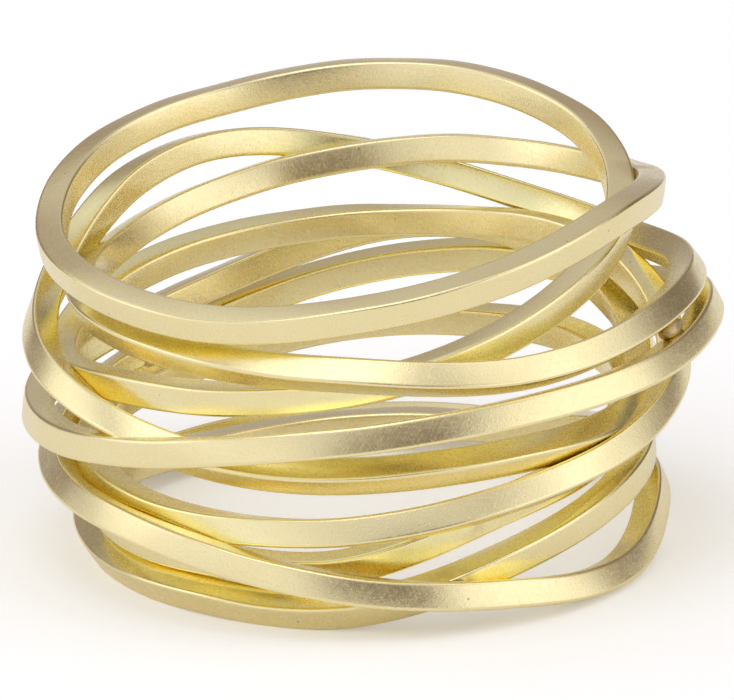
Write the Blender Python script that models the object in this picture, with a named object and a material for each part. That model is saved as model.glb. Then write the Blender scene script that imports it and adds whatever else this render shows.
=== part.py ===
"""A finger ring wound from one long square wire, soldered where its turns cross.

The wire runs counterclockwise seen from above and climbs and drops as it goes round nine times.
Its two ends meet, so its middle line is one closed curve.
"""

import math

import bmesh
import bpy
import numpy as np
from mathutils import Matrix, Vector

MM = 0.001

FINGER_HOLE = 17.4 * MM
WIRE_THICKNESS = 1.0 * MM
WIRE_EDGE_CHAMFER = 0.1 * MM

# The ring leans a little, so that it stands on its four lowest places
LEAN_ABOUT_X = math.radians(1.6)
LEAN_ABOUT_Y = math.radians(1.5)
WORN_FROM_LOW_PLACES = 0.12 * MM

STEPS_A_CLOCK_HOUR = 5
SOLDER_ACROSS = 0.85 * MM
SOLDER_ROUNDNESS = 2

BRASS_COLOUR = (0.78, 0.66, 0.40, 1.0)
BRASS_ROUGHNESS = 0.34

# The columns are clock hours seen from above, with 6 at the front and 12 at the back
CLOCK_HOURS = (3, 2, 1, 12, 11, 10, 9, 8, 7, 6, 5, 4)

# Height of the wire's middle over the ring's foot, mm
HEIGHT = {
    "turn_1": (13.00, 14.00, 14.50, 14.40, 13.75, 13.15, 12.05, 11.75, 11.75, 12.50, 13.50, 14.20),
    "turn_2": (13.45, 12.35, 11.80, 11.20, 10.40, 9.70, 9.70, 10.15, 10.30, 10.40, 10.05, 10.40),
    "turn_3": (10.40, 9.55, 9.85, 11.00, 11.80, 10.95, 9.00, 7.80, 6.65, 6.50, 6.65, 6.50),
    "turn_4": (6.85, 7.65, 8.65, 8.05, 6.27, 5.50, 5.50, 6.05, 7.25, 8.21, 8.81, 9.13),
    "turn_5": (9.25, 7.85, 7.45, 6.52, 5.03, 4.00, 3.55, 3.65, 3.45, 2.60, 1.95, 1.40),
    "turn_6": (2.35, 1.60, 1.10, 0.80, 0.65, 0.65, 0.80, 0.95, 1.25, 1.50, 2.75, 3.70),
    "turn_7": (4.00, 2.70, 1.55, 1.15, 0.90, 1.35, 2.00, 2.20, 2.45, 2.90, 4.50, 5.00),
    "turn_8": (5.75, 5.80, 5.35, 4.70, 4.10, 3.80, 3.85, 3.85, 4.00, 4.45, 5.20, 6.10),
    "turn_9": (7.70, 9.25, 9.17, 8.87, 8.56, 8.10, 7.35, 8.02, 8.72, 9.53, 10.70, 11.95),
}

# How far the wire's inner face stands out from the finger hole, mm
STAND_OUT = {
    "turn_1": (0.00, 0.05, 0.00, 0.10, 0.45, 1.00, 1.40, 1.50, 1.50, 1.50, 1.45, 1.20),
    "turn_2": (1.05, 0.90, 0.70, 0.45, 0.30, 0.30, 0.30, 0.70, 1.15, 1.70, 2.05, 2.25),
    "turn_3": (2.40, 2.15, 1.90, 1.60, 1.20, 0.98, 1.68, 2.08, 1.30, 1.00, 1.00, 0.95),
    "turn_4": (0.85, 1.10, 1.40, 1.35, 1.70, 1.85, 1.95, 2.08, 2.25, 2.20, 2.40, 2.95),
    "turn_5": (2.98, 2.40, 1.85, 1.70, 1.55, 1.45, 1.30, 1.45, 1.70, 1.85, 1.85, 1.55),
    "turn_6": (1.20, 1.20, 1.35, 1.45, 1.20, 0.75, 0.05, -0.05, 0.25, 0.65, 0.80, 0.85),
    "turn_7": (0.80, 0.45, 0.15, 0.05, 0.05, -0.05, -0.30, -0.30, -0.20, 0.10, 0.30, 0.10),
    "turn_8": (0.30, 0.45, 0.80, 1.00, 0.60, 0.30, 0.15, 0.30, 0.55, 0.95, 1.20, 1.70),
    "turn_9": (1.85, 0.90, 0.40, 0.10, 0.15, 0.50, 1.08, 0.85, 0.65, 0.65, 0.40, 0.10),
}

# Roll of the wire's outer face, degrees, up where positive; the columns are 45 degrees apart
ROLL_PLACES = ("right", "back_right", "back", "back_left", "left", "front_left", "front", "front_right")
ROLL = {
    "turn_1": (-1, -9, -8, -12, -10, -19, -12, -6),
    "turn_2": (-7, -19, -16, -27, -25, -30, -48, -54),
    "turn_3": (-55, -35, -16, -16, 20, 44, 55, 55),
    "turn_4": (31, 3, -8, -15, 6, 8, 19, 20),
    "turn_5": (27, 8, 4, -17, -44, -72, -77, -68),
    "turn_6": (-67, -65, -61, -45, -35, -29, -22, 0),
    "turn_7": (5, -3, -6, -6, -10, 0, -4, -7),
    "turn_8": (0, 7, -1, -6, 5, 4, 24, 32),
    "turn_9": (16, -12, -2, 5, 6, -1, 0, 3),
}

# Where solder fills the corner between two turns: turn and degrees from the right, for each
SOLDER_JOINTS = (
    {"turn": 1, "at": 7, "other_turn": 2, "other_at": 8},
    {"turn": 2, "at": 168, "other_turn": 3, "other_at": 168},
    {"turn": 2, "at": 336, "other_turn": 4, "other_at": 336},
    {"turn": 4, "at": 123, "other_turn": 5, "other_at": 123},
    {"turn": 5, "at": 135, "other_turn": 8, "other_at": 135},
    {"turn": 5, "at": 288, "other_turn": 6, "other_at": 288},
    {"turn": 6, "at": 160, "other_turn": 7, "other_at": 160},
    {"turn": 7, "at": 295, "other_turn": 8, "other_at": 295},
)


def smooth_closed(values, steps):
    """Read a smooth closed curve through the values, with this many steps between neighbours."""
    values = np.array(values, dtype=float)
    count = len(values)
    slope_rule = 4.0 * np.eye(count) + np.roll(np.eye(count), 1, axis=1) + np.roll(np.eye(count), -1, axis=1)
    slopes = np.linalg.solve(slope_rule, 3.0 * (np.roll(values, -1) - np.roll(values, 1)))
    share = np.arange(steps) / steps
    start_weight = 2 * share**3 - 3 * share**2 + 1
    start_slope_weight = share**3 - 2 * share**2 + share
    end_slope_weight = share**3 - share**2
    spans = [
        start_weight * values[i]
        + (1 - start_weight) * values[(i + 1) % count]
        + start_slope_weight * slopes[i]
        + end_slope_weight * slopes[(i + 1) % count]
        for i in range(count)
    ]
    return np.concatenate(spans)


def rows_in_order(table):
    """Lay a table's rows end to end, as the wire runs through them."""
    return [value for row in table.values() for value in row]


def wire_line():
    """Give the middle line's points, in the ring's own upright frame, and the roll at each."""
    heights = smooth_closed(rows_in_order(HEIGHT), STEPS_A_CLOCK_HOUR) * MM
    stand_outs = smooth_closed(rows_in_order(STAND_OUT), STEPS_A_CLOCK_HOUR) * MM
    steps_a_turn = len(CLOCK_HOURS) * STEPS_A_CLOCK_HOUR
    turns = len(HEIGHT)
    fine_roll = smooth_closed(rows_in_order(ROLL), steps_a_turn)
    rolls = np.radians(fine_roll[:: len(ROLL_PLACES)])
    angles = 2 * math.pi * np.arange(turns * steps_a_turn) / steps_a_turn
    radii = (FINGER_HOLE + WIRE_THICKNESS) / 2 + stand_outs
    points = np.stack([radii * np.cos(angles), radii * np.sin(angles), heights], axis=1)
    return points, rolls


def lean():
    """Turn the ring from its own upright frame to the way it stands."""
    return Matrix.Rotation(LEAN_ABOUT_Y, 3, "Y") @ Matrix.Rotation(LEAN_ABOUT_X, 3, "X")


def curve_object(name, points, tilts):
    """Make a closed curve through the points."""
    curve = bpy.data.curves.new(name, "CURVE")
    curve.dimensions = "3D"
    spline = curve.splines.new("POLY")
    spline.points.add(len(points) - 1)
    for spot, point, tilt in zip(spline.points, points, tilts):
        spot.co = (*point, 1.0)
        spot.tilt = tilt
    spline.use_cyclic_u = True
    made = bpy.data.objects.new(name, curve)
    bpy.context.collection.objects.link(made)
    return made


def wire_section():
    """Make the square section with its chamfered edges."""
    half = WIRE_THICKNESS / 2
    inner = half - WIRE_EDGE_CHAMFER
    corners = ((inner, half), (half, inner), (half, -inner), (inner, -half),
               (-inner, -half), (-half, -inner), (-half, inner), (-inner, half))
    section = curve_object("wire_section", [(x, y, 0.0) for x, y in corners], [0.0] * len(corners))
    section.data.dimensions = "2D"
    return section


def swept_wire():
    """Sweep the section along the middle line and give the mesh, leaning as the ring stands.

    A curve's tilt turns the other way from the table's roll.
    """
    points, rolls = wire_line()
    section = wire_section()
    path = curve_object("wire_path", points, -rolls)
    path.data.twist_mode = "Z_UP"
    path.data.bevel_mode = "OBJECT"
    path.data.bevel_object = section
    bpy.context.view_layer.update()
    evaluated = path.evaluated_get(bpy.context.evaluated_depsgraph_get())
    mesh = bpy.data.meshes.new_from_object(evaluated)
    for helper in (path, section):
        bpy.data.objects.remove(helper)
    mesh.transform(lean().to_4x4())
    return mesh


def point_on_wire(turn, degrees):
    """Find the middle line at a place on a turn, leaning as the ring stands."""
    points, _ = wire_line()
    steps_a_turn = len(CLOCK_HOURS) * STEPS_A_CLOCK_HOUR
    step = (turn - 1) * steps_a_turn + round(degrees / 360 * steps_a_turn)
    return lean() @ Vector(points[step % len(points)])


def solder_beads():
    """Make one bead for each solder joint, halfway between the two turns."""
    beads = bmesh.new()
    for joint in SOLDER_JOINTS:
        here = point_on_wire(joint["turn"], joint["at"])
        there = point_on_wire(joint["other_turn"], joint["other_at"])
        bmesh.ops.create_icosphere(
            beads,
            subdivisions=SOLDER_ROUNDNESS,
            radius=SOLDER_ACROSS / 2,
            matrix=Matrix.Translation((here + there) / 2),
        )
    mesh = bpy.data.meshes.new("solder_beads")
    beads.to_mesh(mesh)
    beads.free()
    return mesh


def tool_object(name, mesh):
    """Place a mesh as a tool for a Boolean, out of the model itself."""
    tool = bpy.data.objects.new(name, mesh)
    bpy.context.collection.objects.link(tool)
    tool.hide_render = True
    tool.display_type = "WIRE"
    return tool


def floor_block(across, thickness):
    """Make the block whose top is the surface the ring stands on."""
    block = bmesh.new()
    size = Matrix.Diagonal((across, across, thickness, 1.0))
    bmesh.ops.create_cube(block, size=1.0, matrix=Matrix.Translation((0, 0, -thickness / 2)) @ size)
    mesh = bpy.data.meshes.new("floor_block")
    block.to_mesh(mesh)
    block.free()
    return mesh


def centre_on_foot(meshes):
    """Move the meshes so that the first one's box stands on the origin, sunk by the wear."""
    corners = np.array([vertex.co for vertex in meshes[0].vertices])
    low = corners.min(axis=0)
    high = corners.max(axis=0)
    middle = (low + high) / 2
    shift = Matrix.Translation((-middle[0], -middle[1], -low[2] - WORN_FROM_LOW_PLACES))
    for mesh in meshes:
        mesh.transform(shift)


def brass():
    """Make the pale satin brass."""
    material = bpy.data.materials.new("brass")
    material.use_nodes = True
    shader = material.node_tree.nodes["Principled BSDF"]
    shader.inputs["Base Color"].default_value = BRASS_COLOUR
    shader.inputs["Roughness"].default_value = BRASS_ROUGHNESS
    shader.inputs["Metallic"].default_value = 1.0
    material.diffuse_color = BRASS_COLOUR
    return material


def boolean(made, name, operation, tool):
    """Join or cut the object with a tool."""
    step = made.modifiers.new(name, "BOOLEAN")
    step.operation = operation
    step.object = tool
    step.solver = "EXACT"
    return step


def main():
    """Clear the scene and build the ring."""
    for old in list(bpy.data.objects):
        bpy.data.objects.remove(old)
    wire_mesh = swept_wire()
    bead_mesh = solder_beads()
    centre_on_foot((wire_mesh, bead_mesh))
    wire_mesh.materials.append(brass())
    wire = bpy.data.objects.new("wound_wire", wire_mesh)
    bpy.context.collection.objects.link(wire)
    soldering = boolean(wire, "soldering", "UNION", tool_object("solder_beads", bead_mesh))
    soldering.use_self = True
    floor = tool_object("worn_floor", floor_block(2 * FINGER_HOLE, WIRE_THICKNESS))
    boolean(wire, "worn_low_places", "DIFFERENCE", floor)


main()
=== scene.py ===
"""The finish of a finger ring wound from one long square brass wire, on a pale studio floor.

The wire is swept finely round its nine turns, soldered where the turns cross, and given a satin surface.
Everything is in metres, in the frame that the model was packed in, and the ring stands on the floor.
"""

import math

import bmesh
import bpy
import numpy as np
from mathutils import Matrix, Vector, noise
from mathutils.bvhtree import BVHTree


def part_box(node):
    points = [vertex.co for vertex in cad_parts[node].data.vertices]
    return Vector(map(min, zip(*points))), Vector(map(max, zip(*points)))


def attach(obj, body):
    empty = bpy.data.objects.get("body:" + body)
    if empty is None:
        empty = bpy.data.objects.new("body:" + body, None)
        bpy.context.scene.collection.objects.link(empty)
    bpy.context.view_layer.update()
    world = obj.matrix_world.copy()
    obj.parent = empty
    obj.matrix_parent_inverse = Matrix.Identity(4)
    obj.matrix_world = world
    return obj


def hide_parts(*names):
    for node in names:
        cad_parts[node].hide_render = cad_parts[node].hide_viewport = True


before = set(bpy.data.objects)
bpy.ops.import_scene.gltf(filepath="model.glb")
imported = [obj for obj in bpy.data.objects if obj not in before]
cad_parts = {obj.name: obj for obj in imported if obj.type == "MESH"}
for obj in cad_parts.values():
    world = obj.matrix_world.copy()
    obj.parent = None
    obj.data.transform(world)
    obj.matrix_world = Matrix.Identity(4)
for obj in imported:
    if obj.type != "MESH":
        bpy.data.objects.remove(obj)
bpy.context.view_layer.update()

MM = 0.001

# The wire
FINGER_HOLE = 17.4 * MM
WIRE_THICKNESS = 1.0 * MM
EDGE_ROUNDING = 0.11 * MM
FACE_CROWN = 0.010 * MM
POINTS_ACROSS_A_FACE = (0.05, 0.5, 0.95)
POINTS_ROUND_AN_EDGE = 5
STEPS_A_CLOCK_HOUR = 18

# The ring leans a little, so that it stands on its lowest places
LEAN_ABOUT_X = math.radians(1.6)
LEAN_ABOUT_Y = math.radians(1.5)

# Solder between the turns
SOLDER_LENGTH = 1.2 * MM
SOLDER_ACROSS = 0.76 * MM
SOLDER_LUMPS = 0.08 * MM
SOLDER_LUMP_SIZE = 0.35 * MM
SOLDER_ROUNDNESS = 4
SOLDER_STAIN_REACH = 1.6 * MM
CREASE_ANGLE = math.radians(38)

# How shut in each place is, from rays that end on the ring itself; it places the painted bounce light and
# painted shade of the metals' shut-in and crevice tones, and thins the grain
RAYS_A_PLACE = 16
RAY_START = 0.03 * MM
RAY_REACH = 5 * MM

# The photograph's view of the ring, in the ring's own upright frame
CAMERA_LENS = 630.6
CAMERA_SENSOR = 36.0
CAMERA_DISTANCE = 450 * MM
CAMERA_SEES_TO = 10.0
CAMERA_ELEVATION = math.radians(20)
CAMERA_TARGET_HEIGHT = 6 * MM
CAMERA_MOVED_RIGHT = 0.385 * MM
CAMERA_MOVED_UP = 1.29 * MM

FLOOR_RADIUS = 1.5
FLOOR_SIDES = 96
FLOOR_ROUGHNESS = 0.9
FLOOR_COLOUR = (0.90, 0.891, 0.862, 1.0)
FLOOR_GLOW_COLOUR = (1.0, 0.995, 0.97, 1.0)
FLOOR_GLOW = 0.07
FLOOR_GLOW_SEEN = 0.26

# The satin metal
BRASS = {
    "colour": (0.95, 0.83, 0.465, 1.0),
    "cloudy": (0.93, 0.79, 0.42, 1.0),
    # Painted bounce light: where the turns shut a face in, the brass is painted paler, and in the crevices a
    # deep gold
    "shut_in": (0.99, 0.90, 0.47, 1.0),
    "painted_crevice_tone": (0.99, 0.80, 0.22, 1.0),
    "roughness": 0.24,
}
SOLDER = {
    "colour": (0.62, 0.49, 0.27, 1.0),
    "cloudy": (0.46, 0.33, 0.17, 1.0),
    # Painted shade: where the turns shut the solder in, it is painted darker, and darker still in the
    # crevices
    "shut_in": (0.50, 0.36, 0.15, 1.0),
    "painted_crevice_tone": (0.46, 0.31, 0.11, 1.0),
    "roughness": 0.46,
}
STAIN_COLOUR = (0.50, 0.36, 0.22, 1.0)

# The satin surface: its grain, the finishing pad's marks, and the knocks of wear. The marks are laid out
# over a run that is close to the wire's own length
GRAIN_SIZE = 0.085 * MM
GRAIN_DEPTH = 0.0034 * MM
GRAIN_HEIGHTS = {"fine": 0.12, "broad": 0.3, "flecks": 0.5, "pad_marks": 0.4, "hairlines": -0.5, "pits": -1.5}
BROAD_GRAIN_SCALE = 0.35
DETAIL = {"fine": 2.0, "broad": 1.0, "clouds": 3.0, "pad_marks": 1.0, "hairlines": 0.0}
FLECKS_FROM_TO = (0.56, 0.70)
GRAIN_LEFT_SHUT_IN = 0.35
CLOUD_SIZE = 2.4 * MM
CLOUDS_FROM_TO = (0.3, 0.7)
CLOUD_SHARE = 0.6
MARK_LENGTH = 0.75 * MM
MARK_WIDTH = 0.045 * MM
MARKS_RUN = 580 * MM
MARK_SLANTS = (-38, -4, 31)
MARKS_FROM_TO = (0.4, 0.6)
HAIRLINE_LENGTH = 2.2 * MM
HAIRLINE_WIDTH = 0.05 * MM
HAIRLINES_FROM_TO = (0.80, 0.84)
HAIRLINE_TURNS = ((0.3, 0.9, 0.2), (-0.7, 0.2, 1.9), (1.3, -0.5, -1.1))
PIT_SPACING = 1.1 * MM
PIT_RADIUS = 0.045 * MM
PIT_STAIN = 0.7
SOLDER_STAIN = 0.5
STAIN_NEAR_SOLDER = (0.25, 0.85)
STAIN_BY_CLOUDS = (0.35, 0.75)
RUB_BY_CLOUDS = (0.0, 0.8, 0.5, 1.0)

# How much each adds to the metal's roughness
ROUGHNESS_OF = {"flecks": -0.05, "rubbed_edge": -0.06, "stain": 0.12}
ROUGHNESS_OF_MARKS = (-0.03, 0.04)

# Where the turns shut a face in, from and to: first the wide faces, then the crevices. These lay the painted
# light of the shut-in and crevice tones, and the first also thins the grain
SHUT_IN_FROM_TO = (0.15, 0.55)
PAINTED_CREVICE_TONE_FROM_TO = (0.6, 0.95)

# The columns are clock hours seen from above, with 6 at the front and 12 at the back
CLOCK_HOURS = (3, 2, 1, 12, 11, 10, 9, 8, 7, 6, 5, 4)

# Height of the wire's middle over the ring's foot, mm
HEIGHT = {
    "turn_1": (13.00, 14.00, 14.50, 14.40, 13.75, 13.15, 12.05, 11.75, 11.75, 12.50, 13.50, 14.20),
    "turn_2": (13.45, 12.35, 11.80, 11.20, 10.40, 9.70, 9.70, 10.15, 10.30, 10.40, 10.05, 10.40),
    "turn_3": (10.40, 9.55, 9.85, 11.00, 11.80, 10.95, 9.00, 7.80, 6.65, 6.50, 6.65, 6.50),
    "turn_4": (6.85, 7.65, 8.65, 8.05, 6.27, 5.50, 5.50, 6.05, 7.25, 8.21, 8.81, 9.13),
    "turn_5": (9.25, 7.85, 7.45, 6.52, 5.03, 4.00, 3.55, 3.65, 3.45, 2.60, 1.95, 1.40),
    "turn_6": (2.35, 1.60, 1.10, 0.80, 0.65, 0.65, 0.80, 0.95, 1.25, 1.50, 2.75, 3.70),
    "turn_7": (4.00, 2.70, 1.55, 1.15, 0.90, 1.35, 2.00, 2.20, 2.45, 2.90, 4.50, 5.00),
    "turn_8": (5.75, 5.80, 5.35, 4.70, 4.10, 3.80, 3.85, 3.85, 4.00, 4.45, 5.20, 6.10),
    "turn_9": (7.70, 9.25, 9.17, 8.87, 8.56, 8.10, 7.35, 8.02, 8.72, 9.53, 10.70, 11.95),
}

# How far the wire's inner face stands out from the finger hole, mm
STAND_OUT = {
    "turn_1": (0.00, 0.05, 0.00, 0.10, 0.45, 1.00, 1.40, 1.50, 1.50, 1.50, 1.45, 1.20),
    "turn_2": (1.05, 0.90, 0.70, 0.45, 0.30, 0.30, 0.30, 0.70, 1.15, 1.70, 2.05, 2.25),
    "turn_3": (2.40, 2.15, 1.90, 1.60, 1.20, 0.98, 1.68, 2.08, 1.30, 1.00, 1.00, 0.95),
    "turn_4": (0.85, 1.10, 1.40, 1.35, 1.70, 1.85, 1.95, 2.08, 2.25, 2.20, 2.40, 2.95),
    "turn_5": (2.98, 2.40, 1.85, 1.70, 1.55, 1.45, 1.30, 1.45, 1.70, 1.85, 1.85, 1.55),
    "turn_6": (1.20, 1.20, 1.35, 1.45, 1.20, 0.75, 0.05, -0.05, 0.25, 0.65, 0.80, 0.85),
    "turn_7": (0.80, 0.45, 0.15, 0.05, 0.05, -0.05, -0.30, -0.30, -0.20, 0.10, 0.30, 0.10),
    "turn_8": (0.30, 0.45, 0.80, 1.00, 0.60, 0.30, 0.15, 0.30, 0.55, 0.95, 1.20, 1.70),
    "turn_9": (1.85, 0.90, 0.40, 0.10, 0.15, 0.50, 1.08, 0.85, 0.65, 0.65, 0.40, 0.10),
}

# Roll of the wire's outer face, degrees, up where positive; the columns are 45 degrees apart
ROLL_PLACES = ("right", "back_right", "back", "back_left", "left", "front_left", "front", "front_right")
ROLL = {
    "turn_1": (-1, -9, -8, -12, -10, -19, -12, -6),
    "turn_2": (-7, -19, -16, -27, -25, -30, -48, -54),
    "turn_3": (-55, -35, -16, -16, 20, 44, 55, 55),
    "turn_4": (31, 3, -8, -15, 6, 8, 19, 20),
    "turn_5": (27, 8, 4, -17, -44, -72, -77, -68),
    "turn_6": (-67, -65, -61, -45, -35, -29, -22, 0),
    "turn_7": (5, -3, -6, -6, -10, 0, -4, -7),
    "turn_8": (0, 7, -1, -6, 5, 4, 24, 32),
    "turn_9": (16, -12, -2, 5, 6, -1, 0, 3),
}

# Where solder fills the corner between two turns: turn and degrees from the right, for each
SOLDER_JOINTS = (
    {"turn": 1, "at": 7, "other_turn": 2, "other_at": 8},
    {"turn": 2, "at": 168, "other_turn": 3, "other_at": 168},
    {"turn": 2, "at": 336, "other_turn": 4, "other_at": 336},
    {"turn": 4, "at": 123, "other_turn": 5, "other_at": 123},
    {"turn": 5, "at": 135, "other_turn": 8, "other_at": 135},
    {"turn": 5, "at": 288, "other_turn": 6, "other_at": 288},
    {"turn": 6, "at": 160, "other_turn": 7, "other_at": 160},
    {"turn": 7, "at": 295, "other_turn": 8, "other_at": 295},
)

# The hand's slight unevenness along the wire: whole waves in its length, mm and degrees
HAND_WAVES = (
    {"waves": 61, "start": 0.4, "height": 0.012, "stand_out": 0.010, "roll": 0.9},
    {"waves": 97, "start": 2.1, "height": 0.008, "stand_out": 0.009, "roll": 0.6},
    {"waves": 163, "start": 4.4, "height": 0.004, "stand_out": 0.005, "roll": 0.4},
)

# Soft light round the ring: degrees to the right of the front, degrees up, radius of the even middle,
# radius where it ends, and strength, negative where something dark stands
SOFT_LIGHTS = {
    "overhead_box": {"side": -25, "up": 64, "even": 12, "ends": 32, "strength": 1.2},
    "top_box": {"side": 180, "up": 88, "even": 6, "ends": 26, "strength": 0.4},
    "back_left_box": {"side": -134, "up": 50, "even": 8, "ends": 26, "strength": 0.4},
    "right_box": {"side": 82, "up": 50, "even": 8, "ends": 30, "strength": 0.8},
    "right_wall": {"side": 66, "up": 4, "even": 16, "ends": 40, "strength": 0.75},
    "left_box": {"side": -92, "up": 27, "even": 10, "ends": 31, "strength": 0.75},
    "left_wall": {"side": -50, "up": 2, "even": 20, "ends": 46, "strength": 0.4},
    "front_high": {"side": 5, "up": 38, "even": 12, "ends": 32, "strength": 0.25},
    "front_gap": {"side": 13, "up": 8, "even": 7, "ends": 25, "strength": -0.55},
    "back_wall": {"side": 180, "up": 30, "even": 15, "ends": 50, "strength": 0.1},
    "dark_right": {"side": 142, "up": 8, "even": 18, "ends": 46, "strength": -0.47},
    "dark_left": {"side": -152, "up": 12, "even": 10, "ends": 34, "strength": -0.42},
}

# The even sky behind them, and the colours of its dark and its pale parts
SKY_AT_HORIZON = 0.74
SKY_AT_TOP = 0.48
LEAST_LIGHT = 0.02
WORLD_GAIN = 0.87
PALE_LIGHT = (0.99, 0.99, 1.06, 1.0)
DARK_CORNERS = (1.06, 0.89, 0.86, 1.0)
DARK_AND_PALE = (0.25, 0.8)


def smooth_closed(values, steps):
    """Read a smooth closed curve through the values, with this many steps between neighbours."""
    values = np.array(values, dtype=float)
    count = len(values)
    slope_rule = 4.0 * np.eye(count) + np.roll(np.eye(count), 1, axis=1) + np.roll(np.eye(count), -1, axis=1)
    slopes = np.linalg.solve(slope_rule, 3.0 * (np.roll(values, -1) - np.roll(values, 1)))
    share = np.arange(steps) / steps
    start_weight = 2 * share**3 - 3 * share**2 + 1
    start_slope_weight = share**3 - 2 * share**2 + share
    end_slope_weight = share**3 - share**2
    spans = [
        start_weight * values[i]
        + (1 - start_weight) * values[(i + 1) % count]
        + start_slope_weight * slopes[i]
        + end_slope_weight * slopes[(i + 1) % count]
        for i in range(count)
    ]
    return np.concatenate(spans)


def rows_in_order(table):
    """Lay a table's rows end to end, as the wire runs through them."""
    return [value for row in table.values() for value in row]


def hand_waves(count, column):
    """Add up the hand's unevenness at each of this many steps along the whole wire."""
    way = 2 * math.pi * np.arange(count) / count
    return sum(wave[column] * np.sin(wave["waves"] * way + wave["start"]) for wave in HAND_WAVES)


def wire_line():
    """Give the middle line's points, in the ring's own upright frame, and the roll at each."""
    steps_a_turn = len(CLOCK_HOURS) * STEPS_A_CLOCK_HOUR
    count = len(HEIGHT) * steps_a_turn
    heights = smooth_closed(rows_in_order(HEIGHT), STEPS_A_CLOCK_HOUR) + hand_waves(count, "height")
    stand_outs = smooth_closed(rows_in_order(STAND_OUT), STEPS_A_CLOCK_HOUR) + hand_waves(count, "stand_out")
    fine_roll = smooth_closed(rows_in_order(ROLL), steps_a_turn)
    rolls = np.radians(fine_roll[:: len(ROLL_PLACES)] + hand_waves(count, "roll"))
    angles = 2 * math.pi * np.arange(count) / steps_a_turn
    radii = (FINGER_HOLE + WIRE_THICKNESS) / 2 + stand_outs * MM
    points = np.stack([radii * np.cos(angles), radii * np.sin(angles), heights * MM], axis=1)
    return points, rolls


def lean():
    """Turn the ring from its own upright frame to the way it stands."""
    return Matrix.Rotation(LEAN_ABOUT_Y, 3, "Y") @ Matrix.Rotation(LEAN_ABOUT_X, 3, "X")


def placed(name, data):
    """Put an object in the scene."""
    made = bpy.data.objects.new(name, data)
    bpy.context.collection.objects.link(made)
    return made


def finished_mesh(name, shape):
    """Turn a shape that has been built into a mesh."""
    mesh = bpy.data.meshes.new(name)
    shape.to_mesh(mesh)
    shape.free()
    return mesh


def curve_object(name, points, tilts):
    """Make a closed curve through the points."""
    curve = bpy.data.curves.new(name, "CURVE")
    curve.dimensions = "3D"
    spline = curve.splines.new("POLY")
    spline.points.add(len(points) - 1)
    for spot, point, tilt in zip(spline.points, points, tilts):
        spot.co = (*point, 1.0)
        spot.tilt = tilt
    spline.use_cyclic_u = True
    return placed(name, curve)


def section_outline():
    """Give the square section's points, clockwise from the top edge, and how far each is on an edge.

    The edges are round and the faces between them stand out a hair in the middle.
    """
    half = WIRE_THICKNESS / 2
    inner = half - EDGE_ROUNDING
    outline = []
    on_edge = []
    for corner in range(4):
        turn = Matrix.Rotation(-corner * math.pi / 2, 2)
        for i in range(POINTS_ROUND_AN_EDGE):
            share = i / (POINTS_ROUND_AN_EDGE - 1)
            angle = math.pi / 2 * (1 - share)
            spot = Vector((inner + EDGE_ROUNDING * math.cos(angle), inner + EDGE_ROUNDING * math.sin(angle)))
            outline.append(turn @ spot)
            on_edge.append(math.sin(math.pi * share))
        for share in POINTS_ACROSS_A_FACE:
            crown = FACE_CROWN * (1 - (2 * share - 1) ** 2)
            outline.append(turn @ Vector((half + crown, inner - 2 * inner * share)))
            on_edge.append(0.0)
    return outline, on_edge


def swept_wire():
    """Sweep the section along the middle line, leaning as the ring stands, and mark its edges.

    A curve's tilt turns the other way from the table's roll.
    """
    points, rolls = wire_line()
    outline, on_edge = section_outline()
    section = curve_object("wire_section", [(*spot, 0.0) for spot in outline], [0.0] * len(outline))
    section.data.dimensions = "2D"
    path = curve_object("wire_path", points, -rolls)
    path.data.twist_mode = "Z_UP"
    path.data.bevel_mode = "OBJECT"
    path.data.bevel_object = section
    bpy.context.view_layer.update()
    evaluated = path.evaluated_get(bpy.context.evaluated_depsgraph_get())
    mesh = bpy.data.meshes.new_from_object(evaluated)
    for helper in (path, section):
        bpy.data.objects.remove(helper)
    mesh.transform(lean().to_4x4())
    edges = mesh.attributes.new("on_edge", "FLOAT", "CORNER")
    for corner in mesh.loops:
        edges.data[corner.index].value = on_edge[corner.vertex_index % len(on_edge)]
    return mesh


def joint_places():
    """Find each solder joint's middle and the way the wire runs there, leaning as the ring stands."""
    points, _ = wire_line()
    steps_a_turn = len(CLOCK_HOURS) * STEPS_A_CLOCK_HOUR
    places = []
    for joint in SOLDER_JOINTS:
        ends = []
        for turn, degrees in ((joint["turn"], joint["at"]), (joint["other_turn"], joint["other_at"])):
            step = ((turn - 1) * steps_a_turn + round(degrees / 360 * steps_a_turn)) % len(points)
            ends.append((Vector(points[step]), Vector(points[(step + 1) % len(points)] - points[step])))
        middle = (ends[0][0] + ends[1][0]) / 2
        runs = (ends[0][1].normalized() + ends[1][1].normalized()).normalized()
        places.append((lean() @ middle, lean() @ runs))
    return places


def solder_mesh(places):
    """Make one lumpy bead of solder for each joint, drawn out along the wires."""
    beads = bmesh.new()
    for middle, runs in places:
        turned = runs.to_track_quat("X", "Z").to_matrix().to_4x4()
        stretched = Matrix.Diagonal((SOLDER_LENGTH, SOLDER_ACROSS, SOLDER_ACROSS, 1.0))
        bead = bmesh.ops.create_icosphere(
            beads,
            subdivisions=SOLDER_ROUNDNESS,
            radius=0.5,
            matrix=Matrix.Translation(middle) @ turned @ stretched,
        )
        for vertex in bead["verts"]:
            away = (vertex.co - middle).normalized()
            vertex.co += away * noise.noise(vertex.co / SOLDER_LUMP_SIZE) * SOLDER_LUMPS
    return finished_mesh("solder_beads", beads)


def floor_block(across, thickness):
    """Make the block whose top is the surface the ring stands on."""
    block = bmesh.new()
    size = Matrix.Diagonal((across, across, thickness, 1.0))
    bmesh.ops.create_cube(block, size=1.0, matrix=Matrix.Translation((0, 0, -thickness / 2)) @ size)
    return finished_mesh("floor_block", block)


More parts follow.
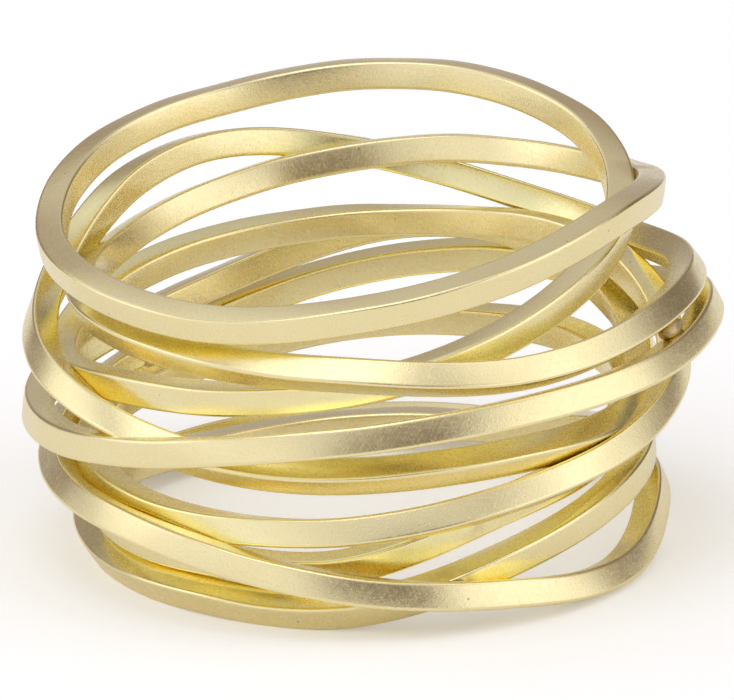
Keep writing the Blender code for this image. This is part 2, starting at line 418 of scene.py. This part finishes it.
def move_to_foot(mesh):
    """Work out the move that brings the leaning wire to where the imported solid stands."""
    corners = np.array([vertex.co for vertex in mesh.vertices])
    low, high = corners.min(axis=0), corners.max(axis=0)
    solid_low, solid_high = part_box("wound_wire")
    return Vector((
        (solid_low[0] + solid_high[0] - low[0] - high[0]) / 2,
        (solid_low[1] + solid_high[1] - low[1] - high[1]) / 2,
        solid_high[2] - high[2],
    ))


def boolean(made, name, operation, tool):
    """Join or cut the object with a tool."""
    step = made.modifiers.new(name, "BOOLEAN")
    step.operation = operation
    step.object = tool
    step.solver = "EXACT"
    return step


def mark_solder(mesh, places):
    """Mark how near each corner of the mesh lies to a solder joint, from 0 to 1."""
    middles = np.array([place[0] for place in places])
    corners = np.array([mesh.vertices[corner.vertex_index].co for corner in mesh.loops])
    nearest = np.full(len(corners), np.inf)
    for middle in middles:
        nearest = np.minimum(nearest, np.linalg.norm(corners - middle, axis=1))
    marks = mesh.attributes.new("near_solder", "FLOAT", "CORNER")
    marks.data.foreach_set("value", np.clip(1 - nearest / SOLDER_STAIN_REACH, 0, 1))


def mark_shut_in(mesh):
    """Mark how shut in by the other turns each vertex is, from 0 to 1."""
    places = [vertex.co.copy() for vertex in mesh.vertices]
    turns = BVHTree.FromPolygons(places, [polygon.vertices for polygon in mesh.polygons])
    rays = []
    for i in range(RAYS_A_PLACE):
        out = math.sqrt((i + 0.5) / RAYS_A_PLACE)
        turn = i * math.pi * (3 - math.sqrt(5))
        rays.append(Vector((out * math.cos(turn), out * math.sin(turn), math.sqrt(1 - out * out))))
    marks = mesh.attributes.new("shut_in", "FLOAT", "POINT")
    for vertex, place in zip(mesh.vertices, places):
        turned = vertex.normal.to_track_quat("Z", "Y")
        start = place + vertex.normal * RAY_START
        hits = sum(turns.ray_cast(start, turned @ ray, RAY_REACH)[0] is not None for ray in rays)
        marks.data[vertex.index].value = hits / RAYS_A_PLACE


def wound_wire(brass, solder_metal):
    """Make the whole ring: the swept wire, joined to its solder and worn flat where it stands."""
    wire_mesh = swept_wire()
    move = move_to_foot(wire_mesh)
    places = [(middle + move, runs) for middle, runs in joint_places()]
    wire_mesh.transform(Matrix.Translation(move))
    wire_mesh.materials.append(brass)
    rough = placed("rough_wire", wire_mesh)
    beads = solder_mesh(places)
    beads.materials.append(solder_metal)
    solder = placed("solder_beads", beads)
    floor = placed("worn_floor", floor_block(2 * FINGER_HOLE, WIRE_THICKNESS))
    soldering = boolean(rough, "soldering", "UNION", solder)
    soldering.use_self = True
    soldering.material_mode = "TRANSFER"
    boolean(rough, "worn_low_places", "DIFFERENCE", floor)
    bpy.context.view_layer.update()
    evaluated = rough.evaluated_get(bpy.context.evaluated_depsgraph_get())
    mesh = bpy.data.meshes.new_from_object(evaluated)
    mesh.name = "satin_wire"
    for helper in (rough, solder, floor):
        bpy.data.objects.remove(helper)
    mesh.shade_smooth()
    mesh.set_sharp_from_angle(angle=CREASE_ANGLE)
    mark_solder(mesh, places)
    mark_shut_in(mesh)
    return placed("satin_wire", mesh), move


def feed(tree, socket, value):
    """Give a socket its value: another node's output is linked, and a number or colour is set."""
    if isinstance(value, bpy.types.NodeSocket):
        tree.links.new(value, socket)
    else:
        socket.default_value = value


def node(tree, kind, settings=None, **inputs):
    """Add a shader node with its settings, and feed its inputs by their names."""
    made = tree.nodes.new("ShaderNode" + kind)
    for name, value in (settings or {}).items():
        setattr(made, name, value)
    for name, value in inputs.items():
        feed(tree, made.inputs[name.replace("_", " ")], value)
    return made


def calculate(tree, operation, *values):
    """Work out a value from others."""
    made = node(tree, "Math", {"operation": operation})
    for socket, value in zip(made.inputs, values):
        feed(tree, socket, value)
    return made.outputs["Value"]


def weighed(tree, weights, **values):
    """Add up values, each times its own weight."""
    total = 0.0
    for name, value in values.items():
        total = calculate(tree, "MULTIPLY_ADD", value, weights[name], total)
    return total


def scaled(tree, vector, factors):
    """Stretch a place by a factor in each direction."""
    made = node(tree, "VectorMath", {"operation": "MULTIPLY"})
    feed(tree, made.inputs[0], vector)
    feed(tree, made.inputs[1], factors)
    return made.outputs["Vector"]


def noise_value(tree, vector, scale, detail):
    """Read soft noise at a place."""
    made = node(tree, "TexNoise", Vector=vector, Scale=scale, Detail=detail)
    return made.outputs["Fac"]


def stepped(tree, value, start, end, low=0.0, high=1.0):
    """Go smoothly from low to high while the value goes from start to end."""
    made = node(tree, "MapRange", {"interpolation_type": "SMOOTHSTEP"}, Value=value,
                From_Min=start, From_Max=end, To_Min=low, To_Max=high)
    return made.outputs["Result"]


def mixed(tree, share, first, second):
    """Mix two colours."""
    made = node(tree, "Mix", {"data_type": "RGBA"})
    feed(tree, made.inputs["Factor"], share)
    feed(tree, made.inputs[6], first)
    feed(tree, made.inputs[7], second)
    return made.outputs[2]


def new_group(name, takes, gives):
    """Start a node group with named inputs and outputs."""
    tree = bpy.data.node_groups.new(name, "ShaderNodeTree")
    for socket, kind in takes.items():
        tree.interface.new_socket(name=socket, in_out="INPUT", socket_type=kind)
    for socket, kind in gives.items():
        tree.interface.new_socket(name=socket, in_out="OUTPUT", socket_type=kind)
    return tree, tree.nodes.new("NodeGroupInput").outputs, tree.nodes.new("NodeGroupOutput").inputs


def satin_grain_group():
    """Make the fine blasted grain: its height, its bright flecks and wide soft clouds in the metal."""
    tree, takes, gives = new_group(
        "satin_grain",
        {"Place": "NodeSocketVector", "Grain Size": "NodeSocketFloat", "Cloud Size": "NodeSocketFloat"},
        {"Height": "NodeSocketFloat", "Flecks": "NodeSocketFloat", "Clouds": "NodeSocketFloat"})
    grains_a_metre = calculate(tree, "DIVIDE", 1.0, takes["Grain Size"])
    fine = noise_value(tree, takes["Place"], grains_a_metre, DETAIL["fine"])
    broad_scale = calculate(tree, "MULTIPLY", grains_a_metre, BROAD_GRAIN_SCALE)
    broad = noise_value(tree, takes["Place"], broad_scale, DETAIL["broad"])
    flecks = stepped(tree, fine, *FLECKS_FROM_TO)
    height = weighed(tree, GRAIN_HEIGHTS, fine=fine, broad=broad, flecks=flecks)
    tree.links.new(height, gives["Height"])
    tree.links.new(flecks, gives["Flecks"])
    clouds_a_metre = calculate(tree, "DIVIDE", 1.0, takes["Cloud Size"])
    clouds = noise_value(tree, takes["Place"], clouds_a_metre, DETAIL["clouds"])
    tree.links.new(stepped(tree, clouds, *CLOUDS_FROM_TO), gives["Clouds"])
    return tree


def brushed_marks_group():
    """Make the short marks of the finishing pad, which cross each other slantwise along the wire."""
    tree, takes, gives = new_group(
        "brushed_marks",
        {"Along And Round": "NodeSocketVector",
         "Mark Length": "NodeSocketFloat", "Mark Width": "NodeSocketFloat"},
        {"Marks": "NodeSocketFloat"})
    sizes = node(tree, "CombineXYZ",
                 X=calculate(tree, "DIVIDE", 1.0, takes["Mark Length"]),
                 Y=calculate(tree, "DIVIDE", 1.0, takes["Mark Width"])).outputs["Vector"]
    total = 0.0
    for slant in MARK_SLANTS:
        turned = node(tree, "VectorRotate", {"rotation_type": "Z_AXIS"},
                      Vector=takes["Along And Round"], Angle=math.radians(slant)).outputs["Vector"]
        lines = noise_value(tree, scaled(tree, turned, sizes), 1.0, DETAIL["pad_marks"])
        total = calculate(tree, "MULTIPLY_ADD", lines, 1 / len(MARK_SLANTS), total)
    tree.links.new(total, gives["Marks"])
    return tree


def knocks_group():
    """Make the few hairline scratches and pits that wear leaves."""
    tree, takes, gives = new_group(
        "knocks",
        {"Place": "NodeSocketVector",
         "Hairline Length": "NodeSocketFloat", "Hairline Width": "NodeSocketFloat",
         "Pit Spacing": "NodeSocketFloat", "Pit Radius": "NodeSocketFloat"},
        {"Hairlines": "NodeSocketFloat", "Pits": "NodeSocketFloat"})
    across = calculate(tree, "DIVIDE", 1.0, takes["Hairline Width"])
    sizes = node(tree, "CombineXYZ", X=calculate(tree, "DIVIDE", 1.0, takes["Hairline Length"]),
                 Y=across, Z=across).outputs["Vector"]
    total = 0.0
    for turn in HAIRLINE_TURNS:
        turned = node(tree, "VectorRotate", {"rotation_type": "EULER_XYZ"},
                      Vector=takes["Place"], Rotation=turn).outputs["Vector"]
        lines = noise_value(tree, scaled(tree, turned, sizes), 1.0, DETAIL["hairlines"])
        total = calculate(tree, "MAXIMUM", total, stepped(tree, lines, *HAIRLINES_FROM_TO))
    tree.links.new(total, gives["Hairlines"])
    cells = node(tree, "TexVoronoi", Vector=takes["Place"],
                 Scale=calculate(tree, "DIVIDE", 1.0, takes["Pit Spacing"]))
    away = calculate(tree, "MULTIPLY", cells.outputs["Distance"], takes["Pit Spacing"])
    tree.links.new(calculate(tree, "LESS_THAN", away, takes["Pit Radius"]), gives["Pits"])
    return tree


def metal(name, groups, tones):
    """Make a satin metal from its tones and its roughness; its shut-in and crevice tones are painted light
    and shade in its colour.
    """
    material = bpy.data.materials.new(name)
    material.use_nodes = True
    tree = material.node_tree
    shader = tree.nodes["Principled BSDF"]
    shader.inputs["Metallic"].default_value = 1.0
    place = node(tree, "TexCoord").outputs["Object"]
    unrolled = node(tree, "UVMap", {"uv_map": "UVMap"}).outputs["UV"]
    along_and_round = scaled(tree, unrolled, (MARKS_RUN, 4 * WIRE_THICKNESS, 1.0))
    on_edge = node(tree, "Attribute", {"attribute_name": "on_edge"}).outputs["Fac"]
    near_solder = node(tree, "Attribute", {"attribute_name": "near_solder"}).outputs["Fac"]
    shut_in = node(tree, "Attribute", {"attribute_name": "shut_in"}).outputs["Fac"]

    grain = node(tree, "Group", {"node_tree": groups["grain"]},
                 Place=place, Grain_Size=GRAIN_SIZE, Cloud_Size=CLOUD_SIZE).outputs
    marks = node(tree, "Group", {"node_tree": groups["marks"]}, Along_And_Round=along_and_round,
                 Mark_Length=MARK_LENGTH, Mark_Width=MARK_WIDTH).outputs["Marks"]
    knocks = node(tree, "Group", {"node_tree": groups["knocks"]}, Place=place,
                  Hairline_Length=HAIRLINE_LENGTH, Hairline_Width=HAIRLINE_WIDTH,
                  Pit_Spacing=PIT_SPACING, Pit_Radius=PIT_RADIUS).outputs

    rub = calculate(tree, "MULTIPLY", on_edge, stepped(tree, grain["Clouds"], *RUB_BY_CLOUDS))
    stain = calculate(tree, "MULTIPLY", stepped(tree, near_solder, *STAIN_NEAR_SOLDER),
                      stepped(tree, grain["Clouds"], *STAIN_BY_CLOUDS))

    cloudy = calculate(tree, "MULTIPLY", grain["Clouds"], CLOUD_SHARE)
    tone = mixed(tree, cloudy, tones["colour"], tones["cloudy"])
    # Painted light: shut-in faces and crevices take the shut-in and crevice tones, painted bounce light on
    # the brass and painted shade on the solder
    tone = mixed(tree, stepped(tree, shut_in, *SHUT_IN_FROM_TO), tone, tones["shut_in"])
    tone = mixed(tree, stepped(tree, shut_in, *PAINTED_CREVICE_TONE_FROM_TO), tone, tones["painted_crevice_tone"])
    tone = mixed(tree, calculate(tree, "MULTIPLY", stain, SOLDER_STAIN), tone, STAIN_COLOUR)
    tone = mixed(tree, calculate(tree, "MULTIPLY", knocks["Pits"], PIT_STAIN), tone, STAIN_COLOUR)
    tree.links.new(tone, shader.inputs["Base Color"])

    rough = weighed(tree, ROUGHNESS_OF, flecks=grain["Flecks"], rubbed_edge=rub, stain=stain)
    rough = calculate(tree, "ADD", rough, stepped(tree, marks, *MARKS_FROM_TO, *ROUGHNESS_OF_MARKS))
    tree.links.new(calculate(tree, "ADD", rough, tones["roughness"]), shader.inputs["Roughness"])

    height = weighed(tree, GRAIN_HEIGHTS, pad_marks=marks, hairlines=knocks["Hairlines"], pits=knocks["Pits"])
    height = calculate(tree, "ADD", height, grain["Height"])
    kept = stepped(tree, shut_in, *SHUT_IN_FROM_TO, 1.0, GRAIN_LEFT_SHUT_IN)
    height = calculate(tree, "MULTIPLY", height, kept)
    relief = node(tree, "Bump", Height=height, Distance=GRAIN_DEPTH)
    tree.links.new(relief.outputs["Normal"], shader.inputs["Normal"])
    return material


def metals():
    """Make the brass of the wire and the solder of its joints, which share their grain and marks."""
    groups = {"grain": satin_grain_group(), "marks": brushed_marks_group(), "knocks": knocks_group()}
    return metal("satin_brass", groups, BRASS), metal("satin_solder", groups, SOLDER)


def studio_floor():
    """Make the wide pale floor."""
    ground = bmesh.new()
    bmesh.ops.create_circle(ground, cap_ends=True, radius=FLOOR_RADIUS, segments=FLOOR_SIDES)
    mesh = finished_mesh("studio_floor", ground)
    material = bpy.data.materials.new("floor_paper")
    material.use_nodes = True
    tree = material.node_tree
    shader = tree.nodes["Principled BSDF"]
    shader.inputs["Base Color"].default_value = FLOOR_COLOUR
    shader.inputs["Roughness"].default_value = FLOOR_ROUGHNESS
    shader.inputs["Emission Color"].default_value = FLOOR_GLOW_COLOUR
    seen = node(tree, "LightPath").outputs["Is Camera Ray"]
    glow = stepped(tree, seen, 0.0, 1.0, FLOOR_GLOW, FLOOR_GLOW_SEEN)
    tree.links.new(glow, shader.inputs["Emission Strength"])
    mesh.materials.append(material)
    floor = placed("studio_floor", mesh)


def studio_light():
    """Make the soft light of the studio: an even sky with soft boxes and dark places in it."""
    world = bpy.data.worlds.new("studio")
    bpy.context.scene.world = world
    world.use_nodes = True
    tree = world.node_tree
    background = tree.nodes["Background"]
    looks = node(tree, "TexCoord").outputs["Generated"]
    rise = node(tree, "SeparateXYZ", Vector=looks).outputs["Z"]
    total = node(tree, "MapRange", Value=rise, To_Min=SKY_AT_HORIZON, To_Max=SKY_AT_TOP).outputs["Result"]
    for light in SOFT_LIGHTS.values():
        side, up, even, ends = (math.radians(light[column]) for column in ("side", "up", "even", "ends"))
        facing = node(tree, "VectorMath", {"operation": "DOT_PRODUCT"})
        feed(tree, facing.inputs[0], looks)
        toward = (math.sin(side) * math.cos(up), -math.cos(side) * math.cos(up), math.sin(up))
        feed(tree, facing.inputs[1], toward)
        lit = stepped(tree, facing.outputs["Value"], math.cos(ends), math.cos(even), 0.0, light["strength"])
        total = calculate(tree, "ADD", total, lit)
    total = calculate(tree, "MAXIMUM", total, LEAST_LIGHT)
    tree.links.new(calculate(tree, "MULTIPLY", total, WORLD_GAIN), background.inputs["Strength"])
    paleness = stepped(tree, total, *DARK_AND_PALE)
    tree.links.new(mixed(tree, paleness, DARK_CORNERS, PALE_LIGHT), background.inputs["Color"])


def camera(move):
    """Look at the ring from the photograph's place, which leans with the ring's own frame."""
    outward = Vector((0.0, -math.cos(CAMERA_ELEVATION), math.sin(CAMERA_ELEVATION)))
    upward = Vector((0.0, math.sin(CAMERA_ELEVATION), math.cos(CAMERA_ELEVATION)))
    right = Vector((1.0, 0.0, 0.0))
    place = Vector((0.0, 0.0, CAMERA_TARGET_HEIGHT)) + outward * CAMERA_DISTANCE
    place += right * CAMERA_MOVED_RIGHT + upward * CAMERA_MOVED_UP
    turned = lean() @ Matrix((right, upward, outward)).transposed()
    data = bpy.data.cameras.new("camera")
    data.lens = CAMERA_LENS
    data.sensor_width = CAMERA_SENSOR
    data.clip_end = CAMERA_SEES_TO
    made = placed("camera", data)
    made.matrix_world = Matrix.Translation(lean() @ place + move) @ turned.to_4x4()
    bpy.context.scene.camera = made


def main():
    """Build the ring, its floor, its light and the camera."""
    bpy.context.scene.view_settings.view_transform = "Standard"
    ring, move = wound_wire(*metals())
    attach(ring, "root")
    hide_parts("wound_wire")
    studio_floor()
    studio_light()
    camera(move)


main()
